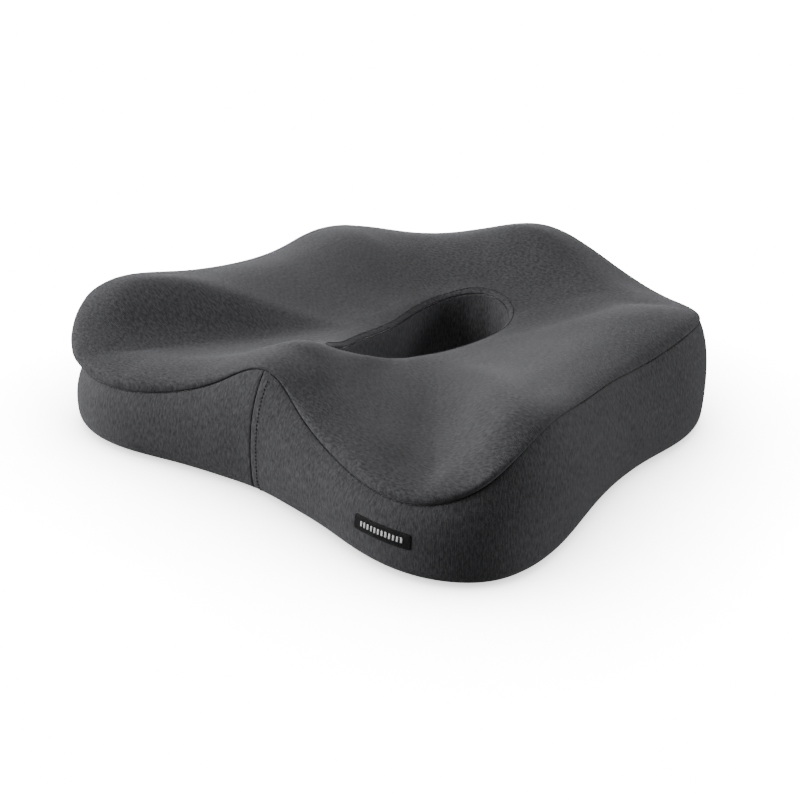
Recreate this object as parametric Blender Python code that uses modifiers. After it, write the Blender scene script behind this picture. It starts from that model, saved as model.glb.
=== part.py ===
"""A contoured office seat cushion: a moulded foam core with a keyhole relief opening, in a thin
liner and a zipped cover of sewn panels. Metres, +Z up. The front edge faces -Y and carries two
thigh grooves with a raised pommel between them; the origin is under the middle of the cushion,
on the plane that it rests on. The zip runs along the rear wall, on a true circular arc in plan,
so its slider turns about one vertical axis."""

import math

import bmesh
import bpy
import numpy as np

MM = 0.001

# ---------------------------------------------------------------- driving dimensions (mm)
ARC_RADIUS = 340.0          # plan radius of the rear wall
ARC_REACH = 140.0           # half of the arc's width
REAR_Y = 209.0              # the rear wall's furthest point
ARC_CENTRE_Y = REAR_Y - ARC_RADIUS

# Edge of the cushion, right half, front centre to rear: x, y, height of the top seam and
# height of the crest that the top panel rolls up to.
EDGE_SIDE = [
    (0, -190, 95, 101),
    (33, -193, 80, 90),
    (74, -199, 62, 76),
    (125, -209, 53, 69),
    (178, -204, 56, 70),
    (214, -177, 76, 87),
    (225, -137, 98, 106),
    (218, -77, 96, 102),
    (208, -17, 89, 96),
    (207, 38, 86, 96),
    (210, 89, 92, 101),
    (193, 143, 88, 99),
]
EDGE_REAR = [(ARC_REACH, 80, 94), (95, 82, 99), (48, 93, 111), (0, 100, 120)]  # x, seam, crest

# Relief opening, right half, front to rear: x, y and height of its rim.
OPENING = [
    (0, -91, 88),
    (12, -84, 85),
    (20, -62, 76),
    (27, -37, 71),
    (32, -4, 67),
    (36, 28, 65),
    (40, 58, 66),
    (34, 85, 70),
    (19, 99, 75),
    (0, 104, 77),
]
RAY_CENTRE_Y = 9.0          # the sections fan out from this point on the centre line

COVER = 1.5                 # cover fabric with its backing
LINER = 0.6
GAP = 0.3                   # clearance kept between touching pieces
LEFT_DROP = 24.0            # how much lower the top seam is at the left lobe's outer corner
SHOULDER = 30.0             # width of the roll from the top seam to the crest
PUFF = 4.0                  # how far the roll swells out over the seam
LOBE_PUFF = 6.0             # and how much further on the front lobes
CORNER_CALM = 3.0           # and how much less at the rear corners
FULL_RISE = 13.0            # the swelling fades where the roll rises less than this
MOST_SWELL = 1.6            # and grows up to this much where the roll is tall
BULGE = 12.5                # how strongly the wall bows out
BULGE_SHARE = 0.4           # share of the wall's height where it is widest
TOP_TURN = 5.0              # how far the wall turns in just below the top seam
NOTCH_LEAN = 9.5            # further turn at the front centre, under the pommel
NOTCH_HALF = 46.0           # half of the width that it fades over
RIDGE_RISE = 5.0            # how much the pommel's ridge stands above the straight run
RIDGE_HALF = 20.0           # half of the ridge's width
FOOT_RADIUS = 12.0          # rounding where the wall turns under
FOOT_SEAM_DEGREES = 8       # the wall fabric starts this far round the foot
RIM_RADIUS = 6.0            # rounding of the relief opening's rims
SEAM_RECESS = 1.5           # how far the wall fabric stops below the top seam

AROUND = 60                 # facets round the cushion
ZIP_HEIGHT = 45.0           # the zip's centre line above the base
SLOT_HALF = 7.0             # half of the slot that the zip fills
PANEL_END_X = 134.0         # the rear strips end here in two upright seams
STOP_X = 126.0              # the zip's end stops
SLIDER_X = 116.0            # the slider's place when the zip is closed

FABRIC = ("cover_fabric", (0.085, 0.085, 0.09), 0.95, 0.0)
MESH_BASE = ("base_fabric", (0.045, 0.045, 0.047), 0.95, 0.0)
LINER_CLOTH = ("liner_jersey", (0.75, 0.75, 0.73), 0.9, 0.0)
FOAM = ("memory_foam", (0.86, 0.84, 0.76), 0.85, 0.0)
TAPE = ("zip_tape", (0.03, 0.03, 0.032), 0.9, 0.0)
COIL = ("zip_coil", (0.02, 0.02, 0.02), 0.45, 0.0)
METAL = ("zip_metal", (0.05, 0.05, 0.055), 0.35, 0.9)
LABEL = ("label_satin", (0.012, 0.012, 0.013), 0.5, 0.0)


# ---------------------------------------------------------------- smooth closed outlines
def mirrored(half):
    """The whole loop of rows (x, ...) from its right half, whose two end rows are on x = 0."""
    rows = np.array(half, float)
    back = rows[-2:0:-1].copy()
    back[:, 0] *= -1
    return np.vstack([rows, back])


class Loop:
    """A smooth closed curve through the rows, by a periodic cubic spline in chord length."""

    def __init__(self, rows):
        self.rows = rows
        self.step = np.linalg.norm(np.roll(rows, -1, 0)[:, :2] - rows[:, :2], axis=1)
        self.knots = np.concatenate([[0], np.cumsum(self.step)])
        count = len(rows)
        after, before = self.step, np.roll(self.step, 1)
        system = np.zeros((count, count))
        rise = (np.roll(rows, -1, 0) - rows) / after[:, None]
        for k in range(count):
            system[k, k - 1] = after[k]
            system[k, k] = 2 * (before[k] + after[k])
            system[k, (k + 1) % count] = before[k]
        right = 3 * (after[:, None] * np.roll(rise, 1, 0) + before[:, None] * rise)
        self.slope = np.linalg.solve(system, right)

    def at(self, share):
        """Rows at shares 0..1 of the way round, starting at the front centre."""
        along = np.mod(share, 1.0) * self.knots[-1]
        k = np.clip(np.searchsorted(self.knots, along, side="right") - 1, 0, len(self.rows) - 1)
        h = self.step[k]
        s = ((along - self.knots[k]) / h)[:, None]
        a, b = self.rows[k], self.rows[(k + 1) % len(self.rows)]
        da = self.slope[k] * h[:, None]
        db = self.slope[(k + 1) % len(self.rows)] * h[:, None]
        return (
            a * (2 * s**3 - 3 * s**2 + 1)
            + da * (s**3 - 2 * s**2 + s)
            + b * (3 * s**2 - 2 * s**3)
            + db * (s**3 - s**2)
        )

    def normals(self, share):
        """Outward unit normals in plan at those shares."""
        little = 1e-4
        way = (self.at(share + little) - self.at(share - little))[:, :2]
        normal = np.stack([way[:, 1], -way[:, 0]], 1)
        return normal / np.linalg.norm(normal, axis=1)[:, None]


def left_lowered(rows):
    """The top seam dips further on the left lobe, most of all at its outer corner."""
    near = np.exp(-(((rows[:, 1] + 170) / 45) ** 2)) * np.clip(-rows[:, 0] / 215, 0, 1) ** 4
    lowered = rows.copy()
    lowered[:, 2] -= LEFT_DROP * near
    return lowered


def rear_rows():
    """Rows of the rear arc, from its right end to the centre line."""
    rows = []
    for x, seam, crest in EDGE_REAR:
        rows.append((x, ARC_CENTRE_Y + math.sqrt(ARC_RADIUS**2 - x**2), seam, crest))
    return rows


EDGE = Loop(left_lowered(mirrored(EDGE_SIDE + rear_rows())))
RIM = Loop(mirrored(OPENING))


def opening_at(points):
    """Rim rows and their plan normals on the rays from the ray centre through these points."""
    fine = np.linspace(0, 1, 2001)
    rim = RIM.at(fine)
    turn = np.unwrap(np.arctan2(rim[:, 1] - RAY_CENTRE_Y, rim[:, 0]))
    wanted = np.arctan2(points[:, 1] - RAY_CENTRE_Y, points[:, 0])
    wanted = turn[0] + np.mod(wanted - turn[0] + 1e-9, 2 * math.pi)
    share = np.interp(wanted, turn, fine)
    return RIM.at(share), RIM.normals(share)


def share_at_rear(x):
    """Share of the way round at which the rear wall reaches this x, on the right."""
    fine = np.linspace(0.3, 0.5, 4001)
    return float(np.interp(-x, -EDGE.at(fine)[:, 0], fine))


WHOLE = np.arange(AROUND) / AROUND


def between(start, end):
    """The whole loop's own shares inside start..end, with the two ends added."""
    margin = 0.1 / AROUND
    inside = WHOLE[(WHOLE > start + margin) & (WHOLE < end - margin)]
    return np.concatenate([[start], inside, [end]])


# ---------------------------------------------------------------- sections of the surface
def raised(plan, height):
    return np.column_stack([plan, np.broadcast_to(height, len(plan))])


def wall(share, height):
    """A line on the wall at this height (one number, or one for each share)."""
    edge = EDGE.at(share)
    part = height / edge[:, 2]
    notch = np.where(edge[:, 1] < 0, np.exp(-((edge[:, 0] / NOTCH_HALF) ** 2)), 0)
    inset = BULGE * (part - BULGE_SHARE) ** 2 + TOP_TURN * part**6 + NOTCH_LEAN * notch * part**3
    return raised(edge[:, :2] - inset[:, None] * EDGE.normals(share), height)


def wall_up(share, part):
    """A line part (0..1) of the way from the foot's rounding up to the top seam."""
    seam = EDGE.at(share)[:, 2]
    return wall(share, FOOT_RADIUS + part * (seam - FOOT_RADIUS))


def wall_fabric(share, bottom, part):
    """A line part (0..1) of the way from this height up to the wall fabric's sewn edge."""
    edge = EDGE.at(share)[:, 2] - SEAM_RECESS
    return wall(share, bottom + part * (edge - bottom))


def foot(share, degrees):
    """A line on the rounding under the wall: 0 degrees is flat underneath, 90 is the wall."""
    angle = math.radians(degrees)
    top = wall(share, np.full(len(share), FOOT_RADIUS))
    inset = FOOT_RADIUS * (1 - math.sin(angle))
    plan = top[:, :2] - inset * EDGE.normals(share)
    return raised(plan, FOOT_RADIUS * (1 - math.cos(angle)))


def shoulder(share, degrees):
    """A line on the roll from the top seam (0 degrees) to the crest (90)."""
    angle = math.radians(degrees)
    edge = EDGE.at(share)
    lobe = np.exp(-(((edge[:, 1] + 150) / 60) ** 2)) * np.clip(edge[:, 0] ** 2 / 170**2, 0, 1)
    corner = np.exp(-(((edge[:, 1] - 100) / 50) ** 2)) * np.clip(edge[:, 0] ** 2 / 200**2, 0, 1)
    rise = edge[:, 3] - edge[:, 2]
    puff = PUFF + LOBE_PUFF * lobe - CORNER_CALM * corner
    swell = puff * np.clip(rise / FULL_RISE, 0, MOST_SWELL)
    inset = SHOULDER * (1 - math.cos(angle)) - swell * math.sin(2 * angle)
    plan = wall_up(share, 1.0)[:, :2] - inset[:, None] * EDGE.normals(share)
    return raised(plan, edge[:, 2] + (edge[:, 3] - edge[:, 2]) * math.sin(angle))


def seat(share, part):
    """A line part (0..1) of the way from the crest to the rim of the opening."""
    crest = shoulder(share, 90)
    rim = rim_edge(share, 90)
    smooth = part * part * (3 - 2 * part)
    plan = crest[:, :2] + part * (rim[:, :2] - crest[:, :2])
    ridge = np.where(plan[:, 1] < 0, np.exp(-((plan[:, 0] / RIDGE_HALF) ** 2)), 0)
    ridge = ridge * RIDGE_RISE * 4 * part * (1 - part)
    return raised(plan, crest[:, 2] + smooth * (rim[:, 2] - crest[:, 2]) + ridge)


def rim_edge(share, degrees):
    """A line on the rounded rim: 90 degrees is level with the seat, 0 is the sleeve."""
    angle = math.radians(degrees)
    rim, normal = opening_at(EDGE.at(share))
    plan = rim[:, :2] + RIM_RADIUS * (1 - math.cos(angle)) * normal
    return raised(plan, rim[:, 2] - RIM_RADIUS * (1 - math.sin(angle)))


def sleeve(share, part):
    """A line part (0..1) of the way down the opening's wall."""
    rim, _ = opening_at(EDGE.at(share))
    top, bottom = rim[:, 2] - RIM_RADIUS, RIM_RADIUS
    return raised(rim[:, :2], top + part * (bottom - top))


def lower_rim(share, degrees):
    """A line on the opening's lower rounding: 0 degrees is the sleeve, 90 is underneath."""
    angle = math.radians(degrees)
    rim, normal = opening_at(EDGE.at(share))
    plan = rim[:, :2] + RIM_RADIUS * (1 - math.cos(angle)) * normal
    return raised(plan, RIM_RADIUS * (1 - math.sin(angle)))


def underside(share, part):
    """A line part (0..1) of the way from the opening out to the foot."""
    inner, outer = lower_rim(share, 90), foot(share, 0)
    return inner + part * (outer - inner)


# ---------------------------------------------------------------- building helpers
def material(spec):
    name, colour, roughness, metallic = spec
    made = bpy.data.materials.get(name)
    if made is None:
        made = bpy.data.materials.new(name)
        made.use_nodes = True
        shader = made.node_tree.nodes["Principled BSDF"]
        shader.inputs["Base Color"].default_value = (*colour, 1.0)
        shader.inputs["Roughness"].default_value = roughness
        shader.inputs["Metallic"].default_value = metallic
    return made


def finish_object(name, mesh, spec, collection, parent=None):
    mesh.materials.append(material(spec))
    made = bpy.data.objects.new(name, mesh)
    collection.objects.link(made)
    made.parent = parent
    mesh.shade_smooth()
    mesh.set_sharp_from_angle(angle=math.radians(40))
    return made


def loft(name, lines, spec, collection, ring=True, tube=False, caps=False):
    """A skin through the lines. ring joins each line's ends, tube joins the last line to the
    first, and caps closes the two end lines of a bar."""
    bm = bmesh.new()
    rows = [[bm.verts.new(point * MM) for point in line] for line in lines]
    count = len(rows[0])
    for j in range(len(rows) - (0 if tube else 1)):
        low, high = rows[j], rows[(j + 1) % len(rows)]
        for i in range(count - (0 if ring else 1)):
            k = (i + 1) % count
            bm.faces.new((low[i], low[k], high[k], high[i]))
    if caps:
        bm.faces.new(rows[0][::-1])
        bm.faces.new(rows[-1])
    mesh = bpy.data.meshes.new(name)
    bm.to_mesh(mesh)
    bm.free()
    return finish_object(name, mesh, spec, collection)


def thicken(obj, thickness, sunk=0.0):
    """Sinks a skin below the cover's outside by sunk, then gives it its thickness inwards."""
    if sunk:
        sink = obj.modifiers.new("Sink", "DISPLACE")
        sink.direction = "NORMAL"
        sink.mid_level = 0.0
        sink.strength = -sunk * MM
    if thickness:
        solid = obj.modifiers.new("Thickness", "SOLIDIFY")
        solid.thickness = thickness * MM
        solid.offset = -1.0
        solid.use_even_offset = True
    return obj


def block(name, size, place, spec, collection, parent=None, bevel=0.0):
    """A box of this size (mm), its centre at place (mm) in the parent's frame."""
    bm = bmesh.new()
    bmesh.ops.create_cube(bm, size=1.0)
    bmesh.ops.scale(bm, vec=[side * MM for side in size], verts=bm.verts)
    mesh = bpy.data.meshes.new(name)
    bm.to_mesh(mesh)
    bm.free()
    made = finish_object(name, mesh, spec, collection, parent)
    made.location = [side * MM for side in place]
    if bevel:
        round_edges(made, bevel)
    return made


def round_edges(obj, width, segments=2):
    edges = obj.modifiers.new("Edges", "BEVEL")
    edges.width = width * MM
    edges.segments = segments


def combine(obj, other, operation):
    """Joins other to obj or cuts it away, other being a hidden helper."""
    step = obj.modifiers.new(operation.title(), "BOOLEAN")
    step.operation = operation
    step.object = other
    other.hide_render = True
    other.display_type = "WIRE"


def pivot(name, place, turn, collection, parent=None):
    made = bpy.data.objects.new(name, None)
    made.location = [side * MM for side in place]
    made.rotation_euler.z = turn
    made.parent = parent
    collection.objects.link(made)
    return made


# ---------------------------------------------------------------- foam, liner and cover
ABOVE_SEAM_DEGREES = 3      # the top panel starts this far up the roll, clear of the border
RIM_END_DEGREES = 25        # and ends this far above the sleeve
LINER_SPLIT = 0.5           # the liner's two halves meet halfway up the wall and the sleeve


def foam_core(collection):
    lines = [underside(WHOLE, part) for part in (0, 0.5)]
    lines += [foot(WHOLE, degrees) for degrees in (0, 30, 60)]
    lines += [wall_up(WHOLE, part) for part in (0, 0.5, 0.8, 1)]
    lines += [shoulder(WHOLE, degrees) for degrees in (20, 45, 65, 90)]
    lines += [seat(WHOLE, part) for part in (0.3, 0.65)]
    lines += [rim_edge(WHOLE, degrees) for degrees in (90, 45)]
    lines += [sleeve(WHOLE, part) for part in (0, 0.5, 1)]
    lines += [lower_rim(WHOLE, 45)]
    core = loft("foam_core", lines, FOAM, collection, tube=True)
    thicken(core, 0, COVER + LINER + 7 * GAP)


def liner(collection):
    apart = 0.02
    lower = [sleeve(WHOLE, part) for part in (LINER_SPLIT + apart, 1)]
    lower += [lower_rim(WHOLE, 45)]
    lower += [underside(WHOLE, 0)]
    lower += [foot(WHOLE, degrees) for degrees in (0, 30, 60)]
    lower += [wall_up(WHOLE, part) for part in (0, LINER_SPLIT - apart)]
    upper = [wall_up(WHOLE, part) for part in (LINER_SPLIT + apart, 0.8, 1)]
    upper += [shoulder(WHOLE, degrees) for degrees in (20, 45, 65, 90)]
    upper += [seat(WHOLE, part) for part in (0.3, 0.65)]
    upper += [rim_edge(WHOLE, degrees) for degrees in (90, 45)]
    upper += [sleeve(WHOLE, part) for part in (0, LINER_SPLIT - apart)]
    for name, lines in (("liner_lower", lower), ("liner_upper", upper)):
        half = loft(name, lines, LINER_CLOTH, collection)
        thicken(half, LINER, COVER + 3 * GAP)


def cover_panels(collection):
    top = [shoulder(WHOLE, degrees) for degrees in (ABOVE_SEAM_DEGREES, 20, 45, 65, 90)]
    top += [seat(WHOLE, part) for part in (0.3, 0.65)]
    top += [rim_edge(WHOLE, degrees) for degrees in (90, 55, RIM_END_DEGREES)]
    thicken(loft("top_panel", top, FABRIC, collection), COVER)

    lining = [sleeve(WHOLE, part) for part in (0, 0.5, 1)]
    thicken(loft("opening_sleeve", lining, FABRIC, collection), COVER)

    base = [lower_rim(WHOLE, degrees) for degrees in (RIM_END_DEGREES, 55)]
    base += [underside(WHOLE, part) for part in (0, 0.995)]
    thicken(loft("base_panel", base, MESH_BASE, collection), COVER)


def border(collection):
    """Two side pieces that meet in an upright seam at the front centre."""
    half_gap = GAP / 2 / EDGE.knots[-1]
    rear = share_at_rear(PANEL_END_X) - half_gap
    for name, start, end in (
        ("border_right", half_gap, rear),
        ("border_left", 1 - rear, 1 - half_gap),
    ):
        share = between(start, end)
        lines = [foot(share, degrees) for degrees in (FOOT_SEAM_DEGREES, 30, 60)]
        lines += [wall_fabric(share, FOOT_RADIUS, part) for part in (0, 0.5, 0.8, 1)]
        thicken(loft(name, lines, FABRIC, collection, ring=False), COVER)


def rear_strips(collection):
    """The strips above and below the zip."""
    start = share_at_rear(PANEL_END_X) + GAP / 2 / EDGE.knots[-1]
    share = between(start, 1 - start)
    slot_low, slot_high = ZIP_HEIGHT - SLOT_HALF, ZIP_HEIGHT + SLOT_HALF
    lower = [foot(share, degrees) for degrees in (FOOT_SEAM_DEGREES, 30, 60)]
    lower += [wall(share, np.full(len(share), height)) for height in (FOOT_RADIUS, slot_low)]
    upper = [wall_fabric(share, slot_high, part) for part in (0, 0.35, 0.7, 1)]
    thicken(loft("rear_strip_lower", lower, FABRIC, collection, ring=False), COVER)
    thicken(loft("rear_strip_upper", upper, FABRIC, collection, ring=False), COVER)


LABEL_SHARES = (0.0785, 0.1105)
LABEL_HEIGHTS = (25.0, 36.0)
LABEL_THICKNESS = 0.6


def woven_label(collection):
    """A small satin tag sewn to the right of the front wall."""
    share = np.linspace(*LABEL_SHARES, 9)
    lines = []
    for height in np.linspace(*LABEL_HEIGHTS, 3):
        line = wall(share, np.full(len(share), height))
        line[:, :2] += (GAP + 0.1) * EDGE.normals(share)
        lines.append(line)
    label = loft("woven_label", lines, LABEL, collection, ring=False)
    thicken(label, LABEL_THICKNESS)
    label.modifiers["Thickness"].offset = 1.0


# ---------------------------------------------------------------- zip
TAPE_DEPTH = (-0.5, 0.0)    # radial reach of each part, counted from the rear arc
COIL_DEPTH = (0.3, 1.8)
COIL_WIDTH = 1.7            # of one row
COIL_PART = 0.15            # from the centre line to a row
BACK_PLATE = (-1.5, -0.8)
FRONT_PLATE = (2.1, 3.0)
SLIDER_LENGTH = 13.0
SLIDER_WIDTH = 8.6
POST_X = 3.2                # the wedge that parts the rows, from the slider's middle
CROWN_HALF = 4.0            # half the length of the crown that carries the pull
CROWN_RISE = 3.2
PULL_AXIS = FRONT_PLATE[1] + 1.0
PULL_LENGTH = 24.0
PULL_WIDTH = 7.0
PULL_THICKNESS = 1.0
COIL_END_X = SLIDER_X + POST_X - 2.2


def arc_bar(name, depth, low, high, x_range, spec, collection, steps=24):
    """A bar of rectangular section along the rear arc, between two x positions."""
    lines = []
    turns = [math.asin(x / ARC_RADIUS) for x in x_range]
    for turn in np.linspace(*turns, steps + 1):
        way = np.array([math.sin(turn), math.cos(turn)])
        inner = np.array([0, ARC_CENTRE_Y]) + (ARC_RADIUS + depth[0]) * way
        outer = np.array([0, ARC_CENTRE_Y]) + (ARC_RADIUS + depth[1]) * way
        corners = [(*inner, low), (*outer, low), (*outer, high), (*inner, high)]
        lines.append(np.array(corners))
    return loft(name, lines, spec, collection, caps=True)


def zip_chain(collection):
    slot = SLOT_HALF - GAP
    part = COIL_PART
    end = PANEL_END_X - 2 * GAP
    arc_bar("zip_tape_lower", TAPE_DEPTH, ZIP_HEIGHT - slot, ZIP_HEIGHT - part, (-end, end),
            TAPE, collection)
    arc_bar("zip_tape_upper", TAPE_DEPTH, ZIP_HEIGHT + part, ZIP_HEIGHT + slot, (-end, end),
            TAPE, collection)
    chain = (-STOP_X + 2.0, COIL_END_X)
    for name, low in (
        ("zip_coil_lower", ZIP_HEIGHT - part - COIL_WIDTH),
        ("zip_coil_upper", ZIP_HEIGHT + part),
    ):
        arc_bar(name, COIL_DEPTH, low, low + COIL_WIDTH, chain, COIL, collection)


def zip_stops(collection):
    """Two stops at the closed end, one on each tape, and one across both rows at the other."""
    closed = (STOP_X - 1.2, STOP_X + 1.2)
    opened = (-STOP_X - 1.4, -STOP_X + 1.4)
    depth = (TAPE_DEPTH[1] + GAP, COIL_DEPTH[1])
    spans = (
        ("zip_top_stop_lower", ZIP_HEIGHT - 2.4, ZIP_HEIGHT - 0.5, closed),
        ("zip_top_stop_upper", ZIP_HEIGHT + 0.5, ZIP_HEIGHT + 2.4, closed),
        ("zip_bottom_stop", ZIP_HEIGHT - 2.6, ZIP_HEIGHT + 2.6, opened),
    )
    for name, low, high, x_range in spans:
        stop = arc_bar(name, depth, low, high, x_range, METAL, collection, steps=1)
        round_edges(stop, 0.3)


def radial(depth):
    """Middle and thickness of a radial reach."""
    return (depth[0] + depth[1]) / 2, depth[1] - depth[0]


def slider(collection, helpers):
    turn = -math.asin(SLIDER_X / ARC_RADIUS)
    axis = pivot("zip_slider_axis", (0, ARC_CENTRE_Y, 0), turn, collection)

    def place(x, depth, z=0.0):
        return (x, ARC_RADIUS + depth, ZIP_HEIGHT + z)

    middle, thick = radial(FRONT_PLATE)
    body = block("zip_slider_body", (SLIDER_LENGTH, thick, SLIDER_WIDTH), place(0, middle),
                 METAL, collection, axis)
    middle, thick = radial(BACK_PLATE)
    back = block("slider_back", (SLIDER_LENGTH, thick, SLIDER_WIDTH), place(0, middle),
                 METAL, helpers, axis)
    reach = (BACK_PLATE[0] + 0.2, FRONT_PLATE[0] + 0.2)
    middle, thick = radial(reach)
    post = block("slider_post", (2.0, thick, 0.25), place(POST_X, middle), METAL, helpers, axis)
    combine(body, back, "UNION")
    combine(body, post, "UNION")
    lip = (TAPE_DEPTH[1] + 0.5, FRONT_PLATE[0] + 0.2)
    middle, thick = radial(lip)
    for side in (-1, 1):
        flange = block(f"slider_flange_{side}", (SLIDER_LENGTH - 2, thick, 0.9),
                       place(0, middle, side * (SLIDER_WIDTH / 2 - 0.5)), METAL, helpers, axis)
        combine(body, flange, "UNION")

    crown_arch(collection, axis, place(0, FRONT_PLATE[1] + GAP))
    pull_axis = pivot("pull_axis", place(0, PULL_AXIS), 0, collection, axis)
    pull_tab(collection, helpers, pull_axis)


def crown_arch(collection, parent, place):
    """The low arch on the slider's front plate that the pull hangs on."""
    width, bar = 1.8, 0.8
    lines = []
    for degrees in range(0, 181, 20):
        angle = math.radians(degrees)
        line = []
        for reach, side in ((-bar, -1), (0, -1), (0, 1), (-bar, 1)):
            x = (CROWN_HALF + reach) * math.cos(angle)
            y = (CROWN_RISE + reach) * math.sin(angle)
            line.append((x, y, side * width / 2))
        lines.append(np.array(line))
    crown = loft("zip_slider_crown", lines[::-1], METAL, collection, caps=True)
    crown.parent = parent
    crown.location = [side * MM for side in place]


def pull_tab(collection, helpers, axis):
    """A flat tab with a window at its end; the bar past the window lies under the crown."""
    bar, window = 0.5, (5.6, 4.0)
    tab = block("zip_pull_tab", (PULL_LENGTH, PULL_THICKNESS, PULL_WIDTH),
                (bar - PULL_LENGTH / 2, 0, 0), METAL, collection, axis)
    hole = block("pull_window", (window[0], 3 * PULL_THICKNESS, window[1]),
                 (-bar - window[0] / 2, 0, 0), METAL, helpers, axis)
    combine(tab, hole, "DIFFERENCE")
    round_edges(tab, 0.25)


# ---------------------------------------------------------------- scene
def new_collection(name):
    made = bpy.data.collections.new(name)
    bpy.context.scene.collection.children.link(made)
    return made


def main():
    for obj in list(bpy.data.objects):
        bpy.data.objects.remove(obj)
    cushion = new_collection("seat_cushion")
    helpers = new_collection("cutters")
    foam_core(cushion)
    liner(cushion)
    cover_panels(cushion)
    border(cushion)
    rear_strips(cushion)
    woven_label(cushion)
    zip_chain(cushion)
    zip_stops(cushion)
    slider(cushion, helpers)


main()
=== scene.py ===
"""Looks of the contoured seat cushion: a tight knitted cover of sewn panels over a foam block,
with a zip along the rear. The shapes follow the same edge, opening and sections as the CAD part.
Millimetres in the shape code, metres in the meshes."""

import math

import bmesh
import bpy
import numpy as np
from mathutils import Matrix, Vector
from mathutils.bvhtree import BVHTree


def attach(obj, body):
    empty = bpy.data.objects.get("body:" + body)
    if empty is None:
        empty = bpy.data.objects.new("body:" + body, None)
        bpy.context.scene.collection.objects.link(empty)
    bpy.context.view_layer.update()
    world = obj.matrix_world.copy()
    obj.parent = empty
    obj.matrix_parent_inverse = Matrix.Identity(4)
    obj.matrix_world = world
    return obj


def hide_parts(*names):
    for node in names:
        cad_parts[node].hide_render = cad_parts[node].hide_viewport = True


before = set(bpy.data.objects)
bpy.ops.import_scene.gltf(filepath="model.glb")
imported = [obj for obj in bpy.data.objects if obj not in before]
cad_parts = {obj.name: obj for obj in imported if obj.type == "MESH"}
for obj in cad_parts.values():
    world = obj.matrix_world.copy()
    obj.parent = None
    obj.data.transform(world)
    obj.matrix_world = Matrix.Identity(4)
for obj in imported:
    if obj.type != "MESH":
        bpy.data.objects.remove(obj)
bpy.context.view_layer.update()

MM = 0.001

# ---------------------------------------------------------------- shape of the cushion (mm)
ARC_RADIUS = 340.0          # plan radius of the rear wall
ARC_REACH = 140.0           # half of the arc's width
REAR_Y = 209.0              # the rear wall's furthest point
ARC_CENTRE_Y = REAR_Y - ARC_RADIUS

# Edge of the cushion, right half, front centre to rear: x, y, height of the top seam and
# height of the crest that the top panel rolls up to.
EDGE_SIDE = [
    (0, -190, 95, 101),
    (33, -193, 80, 90),
    (74, -199, 62, 76),
    (125, -209, 53, 69),
    (178, -204, 56, 70),
    (214, -177, 76, 87),
    (225, -137, 98, 106),
    (218, -77, 96, 102),
    (208, -17, 89, 96),
    (207, 38, 86, 96),
    (210, 89, 92, 101),
    (193, 143, 88, 99),
]
EDGE_REAR = [(ARC_REACH, 80, 94), (95, 82, 99), (48, 93, 111), (0, 100, 120)]  # x, seam, crest

# Relief opening, right half, front to rear: x, y and height of its rim.
OPENING = [
    (0, -91, 88),
    (12, -84, 85),
    (20, -62, 76),
    (27, -37, 71),
    (32, -4, 67),
    (36, 28, 65),
    (40, 58, 66),
    (34, 85, 70),
    (19, 99, 75),
    (0, 104, 77),
]
RAY_CENTRE_Y = 9.0          # the sections fan out from this point on the centre line
LEFT_DROP = 24.0            # how much lower the top seam is at the left lobe's outer corner
SHOULDER = 30.0             # width of the roll from the top seam to the crest
LOBE_TIGHTER = 9.0          # the roll is narrower by this much on the front lobes
PUFF = 4.0                  # how far the roll swells out over the seam
LOBE_PUFF = 6.0             # and how much further on the front lobes
CORNER_CALM = 3.0           # and how much less at the rear corners
FULL_RISE = 13.0            # the swelling fades where the roll rises less than this
MOST_SWELL = 2.05           # and grows up to this much where the roll is tall and the cover loose
BULGE = 12.5                # how strongly the wall bows out
BULGE_SHARE = 0.4           # share of the wall's height where it is widest
TOP_TURN = 5.0              # how far the wall turns in just below the top seam
NOTCH_LEAN = 9.5            # further turn at the front centre, under the pommel
NOTCH_HALF = 46.0           # half of the width that it fades over
RIDGE_RISE = 5.0            # how much the pommel's ridge stands above the straight run
RIDGE_HALF = 20.0           # half of the ridge's width
FOOT_RADIUS = 12.0          # rounding where the wall turns under
RIM_RADIUS = 6.0            # rounding of the relief opening's rims
ZIP_HEIGHT = 45.0           # the zip's centre line above the base
SLOT_HALF = 7.0             # half of the slot that the zip fills
PANEL_END_X = 134.0         # the rear strips end here in two upright seams


def mirrored(half):
    """The whole loop of rows (x, ...) from its right half, whose two end rows are on x = 0."""
    rows = np.array(half, float)
    back = rows[-2:0:-1].copy()
    back[:, 0] *= -1
    return np.vstack([rows, back])


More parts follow.
